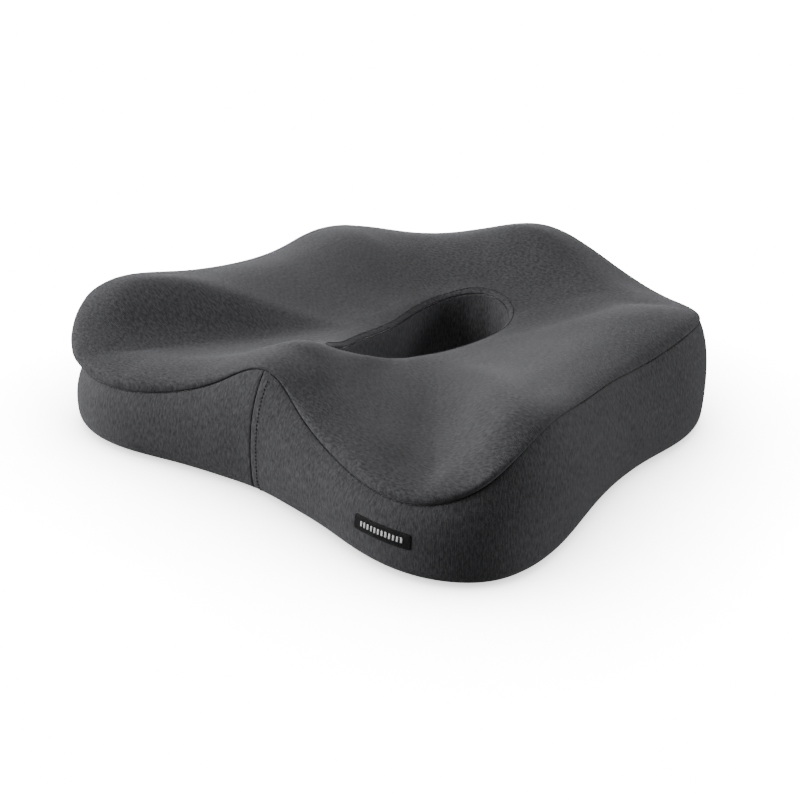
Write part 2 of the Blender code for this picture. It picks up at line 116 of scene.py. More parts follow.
class Loop:
    """A smooth closed curve through the rows, by a periodic cubic spline in chord length."""

    def __init__(self, rows):
        self.rows = rows
        self.step = np.linalg.norm(np.roll(rows, -1, 0)[:, :2] - rows[:, :2], axis=1)
        self.knots = np.concatenate([[0], np.cumsum(self.step)])
        count = len(rows)
        after, before = self.step, np.roll(self.step, 1)
        system = np.zeros((count, count))
        rise = (np.roll(rows, -1, 0) - rows) / after[:, None]
        for k in range(count):
            system[k, k - 1] = after[k]
            system[k, k] = 2 * (before[k] + after[k])
            system[k, (k + 1) % count] = before[k]
        right = 3 * (after[:, None] * np.roll(rise, 1, 0) + before[:, None] * rise)
        self.slope = np.linalg.solve(system, right)

    def at(self, share):
        """Rows at shares 0..1 of the way round, starting at the front centre."""
        along = np.mod(share, 1.0) * self.knots[-1]
        k = np.clip(np.searchsorted(self.knots, along, side="right") - 1, 0, len(self.rows) - 1)
        h = self.step[k]
        s = ((along - self.knots[k]) / h)[:, None]
        a, b = self.rows[k], self.rows[(k + 1) % len(self.rows)]
        da = self.slope[k] * h[:, None]
        db = self.slope[(k + 1) % len(self.rows)] * h[:, None]
        return (
            a * (2 * s**3 - 3 * s**2 + 1)
            + da * (s**3 - 2 * s**2 + s)
            + b * (3 * s**2 - 2 * s**3)
            + db * (s**3 - s**2)
        )

    def normals(self, share):
        """Outward unit normals in plan at those shares."""
        little = 1e-4
        way = (self.at(share + little) - self.at(share - little))[:, :2]
        normal = np.stack([way[:, 1], -way[:, 0]], 1)
        return normal / np.linalg.norm(normal, axis=1)[:, None]


def left_lowered(rows):
    """The top seam dips further on the left lobe, most of all at its outer corner."""
    near = np.exp(-(((rows[:, 1] + 170) / 45) ** 2)) * np.clip(-rows[:, 0] / 215, 0, 1) ** 4
    lowered = rows.copy()
    lowered[:, 2] -= LEFT_DROP * near
    return lowered


def rear_rows():
    """Rows of the rear arc, from its right end to the centre line."""
    rows = []
    for x, seam, crest in EDGE_REAR:
        rows.append((x, ARC_CENTRE_Y + math.sqrt(ARC_RADIUS**2 - x**2), seam, crest))
    return rows


EDGE = Loop(left_lowered(mirrored(EDGE_SIDE + rear_rows())))
RIM = Loop(mirrored(OPENING))


def opening_at(points):
    """Rim rows and their plan normals on the rays from the ray centre through these points."""
    fine = np.linspace(0, 1, 2001)
    rim = RIM.at(fine)
    turn = np.unwrap(np.arctan2(rim[:, 1] - RAY_CENTRE_Y, rim[:, 0]))
    wanted = np.arctan2(points[:, 1] - RAY_CENTRE_Y, points[:, 0])
    wanted = turn[0] + np.mod(wanted - turn[0] + 1e-9, 2 * math.pi)
    share = np.interp(wanted, turn, fine)
    return RIM.at(share), RIM.normals(share)


def share_at_rear(x):
    """Share of the way round at which the rear wall reaches this x, on the right."""
    fine = np.linspace(0.3, 0.5, 4001)
    return float(np.interp(-x, -EDGE.at(fine)[:, 0], fine))


def raised(plan, height):
    return np.column_stack([plan, np.broadcast_to(height, len(plan))])


def wall(share, height):
    """A line on the wall at this height (one number, or one for each share)."""
    edge = EDGE.at(share)
    part = height / edge[:, 2]
    notch = np.where(edge[:, 1] < 0, np.exp(-((edge[:, 0] / NOTCH_HALF) ** 2)), 0)
    inset = BULGE * (part - BULGE_SHARE) ** 2 + TOP_TURN * part**6 + NOTCH_LEAN * notch * part**3
    return raised(edge[:, :2] - inset[:, None] * EDGE.normals(share), height)


def wall_up(share, part):
    """A line part (0..1) of the way from the foot's rounding up to the top seam."""
    seam = EDGE.at(share)[:, 2]
    return wall(share, FOOT_RADIUS + part * (seam - FOOT_RADIUS))


def foot(share, degrees):
    """A line on the rounding under the wall: 0 degrees is flat underneath, 90 is the wall."""
    angle = math.radians(degrees)
    top = wall(share, np.full(len(share), FOOT_RADIUS))
    inset = FOOT_RADIUS * (1 - math.sin(angle))
    plan = top[:, :2] - inset * EDGE.normals(share)
    return raised(plan, FOOT_RADIUS * (1 - math.cos(angle)))


def shoulder(share, degrees):
    """A line on the roll from the top seam (0 degrees) to the crest (90)."""
    angle = math.radians(degrees)
    edge = EDGE.at(share)
    lobe = np.exp(-(((edge[:, 1] + 150) / 60) ** 2)) * np.clip(edge[:, 0] ** 2 / 170**2, 0, 1)
    corner = np.exp(-(((edge[:, 1] - 100) / 50) ** 2)) * np.clip(edge[:, 0] ** 2 / 200**2, 0, 1)
    rise = edge[:, 3] - edge[:, 2]
    puff = PUFF + LOBE_PUFF * lobe - CORNER_CALM * corner
    swell = puff * np.clip(rise / FULL_RISE, 0, MOST_SWELL)
    width = SHOULDER - LOBE_TIGHTER * lobe
    inset = width * (1 - math.cos(angle)) - swell * math.sin(2 * angle)
    plan = wall_up(share, 1.0)[:, :2] - inset[:, None] * EDGE.normals(share)
    return raised(plan, edge[:, 2] + rise * math.sin(angle))


def seat(share, part):
    """A line part (0..1) of the way from the crest to the rim of the opening."""
    crest = shoulder(share, 90)
    rim = rim_edge(share, 90)
    smooth = part * part * (3 - 2 * part)
    plan = crest[:, :2] + part * (rim[:, :2] - crest[:, :2])
    ridge = np.where(plan[:, 1] < 0, np.exp(-((plan[:, 0] / RIDGE_HALF) ** 2)), 0)
    ridge = ridge * RIDGE_RISE * 4 * part * (1 - part)
    return raised(plan, crest[:, 2] + smooth * (rim[:, 2] - crest[:, 2]) + ridge)


def rim_edge(share, degrees):
    """A line on the rounded rim: 90 degrees is level with the seat, 0 is the sleeve."""
    angle = math.radians(degrees)
    rim, normal = opening_at(EDGE.at(share))
    plan = rim[:, :2] + RIM_RADIUS * (1 - math.cos(angle)) * normal
    return raised(plan, rim[:, 2] - RIM_RADIUS * (1 - math.sin(angle)))


def sleeve(share, part):
    """A line part (0..1) of the way down the opening's wall."""
    rim, _ = opening_at(EDGE.at(share))
    top, bottom = rim[:, 2] - RIM_RADIUS, RIM_RADIUS
    return raised(rim[:, :2], top + part * (bottom - top))


def lower_rim(share, degrees):
    """A line on the opening's lower rounding: 0 degrees is the sleeve, 90 is underneath."""
    angle = math.radians(degrees)
    rim, normal = opening_at(EDGE.at(share))
    plan = rim[:, :2] + RIM_RADIUS * (1 - math.cos(angle)) * normal
    return raised(plan, RIM_RADIUS * (1 - math.sin(angle)))


def underside(share, part):
    """A line part (0..1) of the way from the opening out to the foot."""
    inner, outer = lower_rim(share, 90), foot(share, 0)
    return inner + part * (outer - inner)


# ---------------------------------------------------------------- the cover as one grid
SIDE_COLUMNS = 88
REAR_COLUMNS = 38
REAR_SHARE = share_at_rear(PANEL_END_X)
RIM_SEAM_DEGREES = 20       # the sleeve is sewn in just inside the rim
FOOT_SEAM_DEGREES = 8       # the wall fabric starts this far round the foot
DOT_HEIGHT = 0.45           # grip dots lift the base fabric by this much


def columns():
    """Shares round the cushion, with a column on each upright seam."""
    right = np.linspace(0, REAR_SHARE, SIDE_COLUMNS + 1)[:-1]
    rear = np.linspace(REAR_SHARE, 1 - REAR_SHARE, REAR_COLUMNS + 1)[:-1]
    left = np.linspace(1 - REAR_SHARE, 1, SIDE_COLUMNS + 1)[:-1]
    return np.concatenate([right, rear, left])


SHARES = columns()
COUNT = len(SHARES)


def sections():
    """Named rows of points, from the top seam over the top, down the opening, under and up."""
    rows = [("top_seam", shoulder(SHARES, 0))]
    rows += [("top", shoulder(SHARES, degrees)) for degrees in (14, 28, 42, 56, 72, 90)]
    rows += [("top", seat(SHARES, part)) for part in np.linspace(0, 1, 16)[1:]]
    rows += [("top", rim_edge(SHARES, degrees)) for degrees in (68, 42)]
    rows += [("rim_seam", rim_edge(SHARES, RIM_SEAM_DEGREES))]
    rows += [("sleeve", sleeve(SHARES, part)) for part in np.linspace(0, 1, 9)]
    rows += [("base_seam", lower_rim(SHARES, RIM_SEAM_DEGREES))]
    rows += [("base", lower_rim(SHARES, degrees)) for degrees in (45, 70)]
    rows += [("base", underside(SHARES, part)) for part in np.linspace(0, 1, 12)]
    rows += [("foot_seam", foot(SHARES, FOOT_SEAM_DEGREES))]
    rows += [("wall", foot(SHARES, degrees)) for degrees in (25, 45, 68)]
    rows += [("wall", wall_up(SHARES, part)) for part in np.linspace(0, 1, 13)[:-1]]
    return [name for name, _ in rows], np.array([row for _, row in rows])


NAMES, GRID = sections()
ROW = {name: NAMES.index(name) for name in set(NAMES)}


def grid_normals(grid):
    """Outward unit normals of the closed grid."""
    down = np.roll(grid, -1, 0) - np.roll(grid, 1, 0)
    along = np.roll(grid, -1, 1) - np.roll(grid, 1, 1)
    normal = np.cross(along, down)
    return normal / np.maximum(np.linalg.norm(normal, axis=2), 1e-9)[..., None]


def bands(rows, count, first=0, closed=True):
    """Faces joining rows of count points each, the first row starting at this point."""
    faces = []
    for low in range(first, first + (rows - 1) * count, count):
        for i in range(count if closed else count - 1):
            n = (i + 1) % count
            faces.append((low + i, low + n, low + count + n, low + count + i))
    return faces


def mesh_of(name, points, faces):
    """A mesh from points in millimetres."""
    mesh = bpy.data.meshes.new(name)
    mesh.from_pydata((np.reshape(points, (-1, 3)) * MM).tolist(), [], faces)
    return mesh


def grid_mesh(name, grid):
    """The mesh of a grid that closes on itself both ways."""
    rows, count = grid.shape[:2]
    return mesh_of(name, grid, np.mod(bands(rows + 1, count), rows * count).tolist())


CLOTH_PRESSURE = 4.0
CLOTH_FRAMES = 20
CLOTH_CAP = 1.5             # no point moves further than this
CLOTH_START = 0.5           # the cloth starts this far inside the shape


def swell(grid):
    """Cloth under slight pressure, held at its seams and under the base, moving 1.5 mm at most."""
    rows, count = grid.shape[:2]
    mesh = grid_mesh("cover_cloth", grid - CLOTH_START * grid_normals(grid))
    obj = bpy.data.objects.new("cover_cloth", mesh)
    bpy.context.scene.collection.objects.link(obj)
    held = obj.vertex_groups.new(name="held")
    seams = [ROW["top_seam"], ROW["rim_seam"], ROW["base_seam"], ROW["foot_seam"]]
    fixed = seams + list(range(ROW["base_seam"], ROW["foot_seam"]))
    for j in set(fixed):
        held.add([j * count + i for i in range(count)], 1.0, "REPLACE")
    for i in (0, SIDE_COLUMNS, SIDE_COLUMNS + REAR_COLUMNS):
        held.add([j * count + i for j in range(ROW["foot_seam"], rows)], 1.0, "REPLACE")
    cloth = obj.modifiers.new("Cloth", "CLOTH")
    cloth.settings.use_pressure = True
    cloth.settings.uniform_pressure_force = CLOTH_PRESSURE
    cloth.settings.effector_weights.gravity = 0.0
    cloth.settings.vertex_group_mass = "held"
    cloth.settings.shrink_min = 0.0
    cloth.settings.quality = 5
    cloth.collision_settings.use_collision = False
    cloth.point_cache.frame_start = 1
    cloth.point_cache.frame_end = CLOTH_FRAMES
    scene = bpy.context.scene
    for step in range(1, CLOTH_FRAMES + 1):
        scene.frame_set(step)
    graph = bpy.context.evaluated_depsgraph_get()
    result = obj.evaluated_get(graph).data
    moved = np.empty(rows * count * 3, np.float32)
    result.vertices.foreach_get("co", moved)
    shift = moved.reshape(rows, count, 3) / MM - grid
    scene.frame_set(1)
    bpy.data.objects.remove(obj)
    size = np.linalg.norm(shift, axis=2, keepdims=True)
    return grid + shift * (CLOTH_CAP * np.tanh(size / CLOTH_CAP) / np.maximum(size, 1e-9))


COVER_GRID = swell(GRID)
COVER_GRID[..., 2] = np.maximum(COVER_GRID[..., 2], DOT_HEIGHT)
NORMALS = grid_normals(COVER_GRID)


# ---------------------------------------------------------------- materials
class Nodes:
    """A small helper for building node materials."""

    def __init__(self, name):
        self.material = bpy.data.materials.new(name)
        self.material.use_nodes = True
        self.tree = self.material.node_tree
        self.shader = self.tree.nodes["Principled BSDF"]

    def add(self, kind, **inputs):
        node = self.tree.nodes.new(kind)
        for key, value in inputs.items():
            self.put(node, key.replace("_", " "), value)
        return node

    def put(self, node, key, value):
        socket = node.inputs[int(key[1:])] if key[0] == "i" and key[1:].isdigit() else node.inputs[key]
        if isinstance(value, bpy.types.NodeSocket):
            self.tree.links.new(value, socket)
        else:
            socket.default_value = value

    def math(self, operation, a, b=0.0):
        node = self.tree.nodes.new("ShaderNodeMath")
        node.operation = operation
        self.put(node, "i0", a)
        self.put(node, "i1", b)
        return node.outputs[0]

    def noise(self, vector, detail=2.0, roughness=0.5, scale=1.0):
        node = self.add("ShaderNodeTexNoise", Vector=vector, Scale=scale, Detail=detail,
                        Roughness=roughness)
        return node.outputs[0]

    def scaled(self, vector, x, y, z=1.0):
        node = self.add("ShaderNodeMapping", Vector=vector)
        node.inputs["Scale"].default_value = (x, y, z)
        return node.outputs[0]

    def ramp(self, value, stops):
        node = self.tree.nodes.new("ShaderNodeValToRGB")
        self.put(node, "Fac", value)
        ramp = node.color_ramp
        while len(ramp.elements) < len(stops):
            ramp.elements.new(0.5)
        for element, (place, colour) in zip(ramp.elements, stops):
            element.position = place
            element.color = (*colour, 1.0)
        return node.outputs[0]

    def mix(self, factor, a, b):
        node = self.tree.nodes.new("ShaderNodeMix")
        node.data_type = "RGBA"
        for socket, value in ((node.inputs[0], factor), (node.inputs[6], a), (node.inputs[7], b)):
            if isinstance(value, bpy.types.NodeSocket):
                self.tree.links.new(value, socket)
            else:
                socket.default_value = value if not isinstance(value, tuple) else (*value, 1.0)
        return node.outputs[2]

    def bump(self, height, strength, distance):
        node = self.add("ShaderNodeBump", Height=height, Strength=strength, Distance=distance)
        self.put(self.shader, "Normal", node.outputs[0])

    def uv(self):
        node = self.tree.nodes.new("ShaderNodeUVMap")
        node.uv_map = "cloth"
        return node.outputs[0]

    def place(self):
        return self.tree.nodes.new("ShaderNodeTexCoord").outputs["Object"]


def knit(name, dark, light, streak=(1 / 0.0014, 1 / 0.0052), wale=0.0012, sheen=0.12, bump=0.5):
    """Melange knit: fine two-tone streaks along the wales, with rows of small loops."""
    made = Nodes(name)
    uv = made.uv()
    streaks = made.noise(made.scaled(uv, *streak), detail=3.0, roughness=0.62)
    flecks = made.noise(made.scaled(uv, streak[0] * 1.9, streak[1] * 2.4), detail=1.0)
    cloudy = made.noise(made.scaled(uv, 38, 38), detail=3.0)
    tone = made.math("ADD", made.math("MULTIPLY", streaks, 0.72),
                     made.math("MULTIPLY", flecks, 0.2))
    tone = made.math("ADD", tone, made.math("MULTIPLY", cloudy, 0.1))
    colour = made.ramp(tone, [(0.40, dark), (0.51, tuple((d + l) / 2 for d, l in zip(dark, light))),
                              (0.63, light)])
    made.put(made.shader, "Base Color", colour)
    made.put(made.shader, "Roughness", made.math("ADD", 0.78, made.math("MULTIPLY", flecks, 0.2)))
    made.put(made.shader, "Specular IOR Level", 0.12)
    made.put(made.shader, "Sheen Weight", sheen)
    made.put(made.shader, "Sheen Roughness", 0.45)
    made.put(made.shader, "Sheen Tint", (0.78, 0.79, 0.83, 1.0))
    wave = 2 * math.pi / wale
    split = made.tree.nodes.new("ShaderNodeSeparateXYZ")
    made.put(split, "i0", uv)
    across = made.math("SINE", made.math("MULTIPLY", split.outputs[0], wave))
    slant = made.math("ABSOLUTE", made.math("SINE", made.math("MULTIPLY", split.outputs[0], wave / 2)))
    rows = made.math("SINE", made.math("ADD", made.math("MULTIPLY", split.outputs[1], wave * 1.25),
                                       made.math("MULTIPLY", slant, 2.4)))
    loops = made.math("ADD", made.math("MULTIPLY", across, 0.5), made.math("MULTIPLY", rows, 0.5))
    height = made.math("ADD", loops, made.math("MULTIPLY", streaks, 0.7))
    made.bump(height, bump, 0.00022)
    return made.material


def thread(name, colour):
    made = Nodes(name)
    twist = made.add("ShaderNodeTexWave", Vector=made.place(), Scale=900.0, Distortion=2.0)
    made.put(made.shader, "Base Color", made.mix(twist.outputs[1], colour,
                                                 tuple(0.55 * c for c in colour)))
    made.put(made.shader, "Roughness", 0.6)
    made.put(made.shader, "Specular IOR Level", 0.15)
    made.bump(twist.outputs[1], 0.4, 0.0001)
    return made.material


def woven(name, dark, light, pitch=0.0009, rough=0.85, sheen=0.1):
    """A plain or ribbed weave: crossing threads in two close tones."""
    made = Nodes(name)
    place = made.place()
    split = made.tree.nodes.new("ShaderNodeSeparateXYZ")
    made.put(split, "i0", place)
    wave = 2 * math.pi / pitch
    warp = made.math("SINE", made.math("MULTIPLY", made.math("ADD", split.outputs[0],
                                                             split.outputs[1]), wave))
    weft = made.math("SINE", made.math("MULTIPLY", made.math("ADD", split.outputs[2],
                                       made.math("SUBTRACT", split.outputs[0], split.outputs[1])), wave))
    weave = made.math("MULTIPLY", warp, weft)
    grime = made.noise(place, detail=3.0, scale=240.0)
    fac = made.math("ADD", made.math("MULTIPLY", weave, 0.35), grime)
    made.put(made.shader, "Base Color", made.mix(fac, dark, light))
    made.put(made.shader, "Roughness", rough)
    made.put(made.shader, "Specular IOR Level", 0.12)
    made.put(made.shader, "Sheen Weight", sheen)
    made.bump(weave, 0.5, 0.00015)
    return made.material


def metal(name):
    made = Nodes(name)
    scuffs = made.noise(made.place(), detail=4.0, scale=700.0, roughness=0.6)
    made.put(made.shader, "Base Color", made.ramp(scuffs, [(0.3, (0.02, 0.02, 0.022)),
                                                           (0.75, (0.075, 0.075, 0.08))]))
    made.put(made.shader, "Metallic", 0.85)
    made.put(made.shader, "Roughness", made.math("ADD", 0.25, made.math("MULTIPLY", scuffs, 0.25)))
    made.bump(scuffs, 0.12, 0.0001)
    return made.material


def foam_cells(name):
    made = Nodes(name)
    cells = made.add("ShaderNodeTexVoronoi", Vector=made.place(), Scale=900.0)
    made.put(made.shader, "Base Color", made.ramp(cells.outputs[0], [(0.0, (0.62, 0.57, 0.46)),
                                                                     (0.6, (0.86, 0.83, 0.75))]))
    made.put(made.shader, "Roughness", 0.95)
    made.bump(cells.outputs[0], 0.6, 0.0004)
    return made.material


def coil_plastic(name):
    made = Nodes(name)
    haze = made.noise(made.place(), detail=2.0, scale=900.0)
    made.put(made.shader, "Base Color", made.ramp(haze, [(0.3, (0.012, 0.012, 0.013)),
                                                         (0.7, (0.03, 0.03, 0.032))]))
    made.put(made.shader, "Roughness", made.math("ADD", 0.32, made.math("MULTIPLY", haze, 0.25)))
    return made.material


def grip_rubber(name):
    made = Nodes(name)
    haze = made.noise(made.place(), detail=3.0, scale=500.0)
    made.put(made.shader, "Base Color", made.ramp(haze, [(0.3, (0.015, 0.015, 0.016)),
                                                         (0.7, (0.035, 0.035, 0.037))]))
    made.put(made.shader, "Roughness", made.math("ADD", 0.5, made.math("MULTIPLY", haze, 0.3)))
    made.bump(haze, 0.2, 0.0001)
    return made.material


CHARCOAL_DARK = (0.034, 0.034, 0.0365)
CHARCOAL_LIGHT = (0.076, 0.076, 0.081)
COVER_KNIT = knit("cover_knit", CHARCOAL_DARK, CHARCOAL_LIGHT)
TOP_KNIT = knit("top_knit", CHARCOAL_DARK, CHARCOAL_LIGHT, streak=(1 / 0.0034, 1 / 0.0013))
BASE_CLOTH = woven("base_cloth", (0.02, 0.02, 0.021), (0.06, 0.06, 0.062), pitch=0.0014)
LINER_KNIT = woven("liner_knit", (0.62, 0.62, 0.6), (0.8, 0.8, 0.78), pitch=0.001)
TAPE_CLOTH = woven("tape_cloth", (0.012, 0.012, 0.013), (0.04, 0.04, 0.042), pitch=0.0008)
LABEL_SATIN = woven("label_satin_weave", (0.004, 0.004, 0.0045), (0.014, 0.014, 0.015),
                    pitch=0.0005, rough=0.6, sheen=0.0)
SEAM_THREAD = thread("seam_thread_twist", (0.03, 0.03, 0.032))
WHITE_THREAD = thread("white_thread_twist", (0.8, 0.8, 0.8))
ZIP_METAL = metal("black_lacquer")
FOAM_CELLS = foam_cells("foam_cells")
COIL_NYLON = coil_plastic("coil_nylon")
GRIP_RUBBER = grip_rubber("grip_rubber")


# ---------------------------------------------------------------- pieces
def piece(name, mesh, material, body="cushion", replaces=()):
    obj = bpy.data.objects.new(name, mesh)
    bpy.context.scene.collection.objects.link(obj)
    obj.data.materials.clear()
    obj.data.materials.append(material)
    if isinstance(mesh, bpy.types.Mesh):
        mesh.shade_smooth()
    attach(obj, body)
    if replaces:
        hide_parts(*replaces)
    return obj


def fold(points, normals, depth):
    """Four rows that replace the first one: from deep in the seam, over the fold, to the fabric."""
    way = points[1] - points[0]
    way = way / np.linalg.norm(way, axis=1)[:, None]
    return [points[0] - sunk * normals[0] + inset * way
            for sunk, inset in ((depth + 2.2, 0.2), (depth, 0.12), (0.35, 0.44), (0.0, 1.2))]


def sewn(points, normals, at_start, at_end, depth=1.1):
    """Adds the turned-in edge rows where the fabric folds into a seam, along axis 0."""
    rows = list(points)
    if at_start:
        rows[:1] = fold(points, normals, depth)
    if at_end:
        rows[-1:] = fold(points[::-1], normals[::-1], depth)[::-1]
    return np.array(rows)


def panel(name, rows, cols, seams, material, replaces, planar=False, ring=False):
    """A fabric panel cut from the cover grid. seams: (first row, last row, first col, last col)."""
    points = COVER_GRID[np.ix_(rows, cols)]
    normals = NORMALS[np.ix_(rows, cols)]
    flat = sewn(points, normals, seams[0], seams[1])
    lean = sewn_normals(normals, seams[0], seams[1])
    if not ring:
        turned = sewn(flat.transpose(1, 0, 2), lean.transpose(1, 0, 2), seams[2], seams[3])
        flat = turned.transpose(1, 0, 2)
    return cloth_piece(name, flat, material, replaces, planar, ring)


def sewn_normals(normals, at_start, at_end):
    parts = [normals[:1]] * (3 if at_start else 0) + [normals] + [normals[-1:]] * (3 if at_end else 0)
    return np.concatenate(parts)


def cloth_piece(name, grid, material, replaces, planar, ring, thickness=0.8):
    rows, count = grid.shape[:2]
    corners = []
    for j in range(rows - 1):
        for i in range(count if ring else count - 1):
            corners += [(j, i), (j, i + 1), (j + 1, i + 1), (j + 1, i)]
    mesh = mesh_of(name, grid, bands(rows, count, closed=ring))
    middle = grid[rows // 2]
    along = np.concatenate([[0], np.cumsum(np.linalg.norm(np.roll(middle, -1, 0) - middle, axis=1))])
    down = np.concatenate([np.zeros((1, count)), np.cumsum(
        np.linalg.norm(np.diff(grid, axis=0), axis=2), axis=0)])
    layer = mesh.uv_layers.new(name="cloth")
    uv = np.empty((len(corners), 2), np.float32)
    for k, (j, i) in enumerate(corners):
        m = i % count
        uv[k] = grid[j, m, :2] if planar else (along[i], down[j, m])
    layer.data.foreach_set("uv", (uv * MM).ravel())
    obj = piece(name, mesh, material, replaces=replaces)
    smooth = obj.modifiers.new("Smooth", "SUBSURF")
    smooth.levels = smooth.render_levels = 1
    solid = obj.modifiers.new("Thickness", "SOLIDIFY")
    solid.thickness = thickness * MM
    solid.offset = -1.0
    return obj


def cover():
    last = len(NAMES)
    whole = list(range(COUNT))
    right = list(range(0, SIDE_COLUMNS + 1))
    rear = list(range(SIDE_COLUMNS, SIDE_COLUMNS + REAR_COLUMNS + 1))
    left = list(range(SIDE_COLUMNS + REAR_COLUMNS, COUNT)) + [0]
    top_rows = list(range(0, ROW["rim_seam"] + 1))
    sleeve_rows = list(range(ROW["rim_seam"], ROW["base_seam"] + 1))
    base_rows = list(range(ROW["base_seam"], ROW["foot_seam"] + 1))
    wall_rows = list(range(ROW["foot_seam"], last)) + [0]
    rows = (True, True, False, False)
    around = (True, True, True, True)
    pieces = [
        panel("cover_top", top_rows, whole, rows, TOP_KNIT, ["top_panel"],
              planar=True, ring=True),
        panel("cover_sleeve", sleeve_rows, whole, rows, COVER_KNIT,
              ["opening_sleeve"], ring=True),
        panel("cover_base", base_rows, whole, rows, BASE_CLOTH, ["base_panel"],
              planar=True, ring=True),
        panel("cover_border_right", wall_rows, right, around, COVER_KNIT,
              ["border_right"]),
        panel("cover_border_left", wall_rows, left, around, COVER_KNIT,
              ["border_left"]),
    ]
    pieces += rear_strips(wall_rows, rear)
    return pieces


def rear_strips(wall_rows, rear):
    """The strips above and below the zip slot, whose edges there run at a constant height."""
    points = COVER_GRID[np.ix_(wall_rows, rear)]
    normals = NORMALS[np.ix_(wall_rows, rear)]
    count = np.arange(len(points))
    lap = 0.5       # the turned edges lie this far over the tapes
    ends = [np.array([np.interp(ZIP_HEIGHT + side * (SLOT_HALF - lap), points[:, k, 2], count)
                      for k in range(len(rear))]) for side in (-1, 1)]
    floor, top = np.zeros(len(rear)), np.full(len(rear), len(points) - 1.0)
    made = []
    for name, low, high, rows, node in (
        ("cover_strip_lower", floor, ends[0], 12, "rear_strip_lower"),
        ("cover_strip_upper", ends[1], top, 14, "rear_strip_upper"),
    ):
        flat = sewn(respaced(points, low, high, rows), respaced(normals, low, high, rows), True, True,
                    depth=2.0)
        lean = sewn_normals(respaced(normals, low, high, rows), True, True)
        turned = sewn(flat.transpose(1, 0, 2), lean.transpose(1, 0, 2), True, True)
        made.append(cloth_piece(name, turned.transpose(1, 0, 2), COVER_KNIT,
                                [node], False, False))
    return made


def respaced(grid, low, high, count):
    """Each column of the grid respaced between two places on it, counted in rows."""
    place = np.linspace(low, high, count)
    row = np.clip(np.floor(place).astype(int), 0, len(grid) - 2)
    part = (place - row)[..., None]
    column = np.arange(grid.shape[1])
    return grid[row, column] * (1 - part) + grid[row + 1, column] * part


def inner_skin(name, sunk, material, replaces, thickness):
    """A closed inner layer that follows the cover at this depth, with half as many columns."""
    grid = (GRID - sunk * grid_normals(GRID))[:, ::2]
    made = piece(name, grid_mesh(name, grid), material, replaces=replaces)
    if thickness:
        solid = made.modifiers.new("Thickness", "SOLIDIFY")
        solid.thickness = thickness * MM
        solid.offset = -1.0
    return made


def tree_of(objects):
    """A search tree of the finished outer surfaces."""
    thick = [obj.modifiers["Thickness"] for obj in objects if "Thickness" in obj.modifiers]
    for modifier in thick:
        modifier.show_viewport = False
    graph = bpy.context.evaluated_depsgraph_get()
    points, faces = [], []
    for obj in objects:
        mesh = obj.evaluated_get(graph).data
        count = len(mesh.vertices)
        co = np.empty(count * 3, np.float32)
        mesh.vertices.foreach_get("co", co)
        start = len(points)
        points += co.reshape(-1, 3).tolist()
        faces += [[start + v for v in face.vertices] for face in mesh.polygons]
    for modifier in thick:
        modifier.show_viewport = True
    return BVHTree.FromPolygons(points, faces)


STATIONS = ((0.0, -0.4, 0.45), (0.2, 0.35, 0.9), (0.5, 0.6, 1.0), (0.8, 0.35, 0.9),
            (1.0, -0.4, 0.45))      # along a stitch: share of its length, rise and fatness
THREAD_SIDES = 6


def stitches(name, path, tree, pitch=3.0, length=2.2, radius=0.36, lift=0.1,
             closed=False):
    """Short threads lying end to end along a path on the fabric, each dipping in at its ends."""
    path = np.array(path)
    if closed:
        path = np.vstack([path, path[:1]])
    run = np.concatenate([[0], np.cumsum(np.linalg.norm(np.diff(path, axis=0), axis=1))])
    starts = np.arange(0.3, run[-1] - length, pitch)
    verts, faces = [], []
    for start in starts:
        places = []
        for share, _, _ in STATIONS:
            at = start + share * length
            places.append([np.interp(at, run, path[:, k]) for k in range(3)])
        snapped = [tree.find_nearest(Vector(p) * MM) for p in places]
        centres = np.array([np.array(hit[0]) / MM for hit in snapped])
        lean = np.array(snapped[2][1])
        way = centres[-1] - centres[0]
        way = way / max(np.linalg.norm(way), 1e-9)
        side = np.cross(way, lean)
        side = side / max(np.linalg.norm(side), 1e-9)
        first = len(verts)
        for (_, rise, fat), centre in zip(STATIONS, centres):
            middle = centre + lean * (lift + rise * radius)
            for k in range(THREAD_SIDES):
                turn = k * 2 * math.pi / THREAD_SIDES
                verts.append(middle + radius * fat * (math.cos(turn) * side + math.sin(turn) * lean))
        faces += bands(len(STATIONS), THREAD_SIDES, first)
        faces.append(list(range(first, first + THREAD_SIDES))[::-1])
        faces.append(list(range(len(verts) - THREAD_SIDES, len(verts))))
    mesh = mesh_of(name, verts, faces)
    bm = bmesh.new()
    bm.from_mesh(mesh)
    bmesh.ops.recalc_face_normals(bm, faces=bm.faces)
    bm.to_mesh(mesh)
    bm.free()
    return piece(name, mesh, SEAM_THREAD)


FRONT_OFFSET = 6.2          # from the front seam to its topstitch
REAR_OFFSET = 4.6           # from the rear seams to theirs
SLOT_OFFSET = 2.6           # from the zip's slot to the stitches beside it


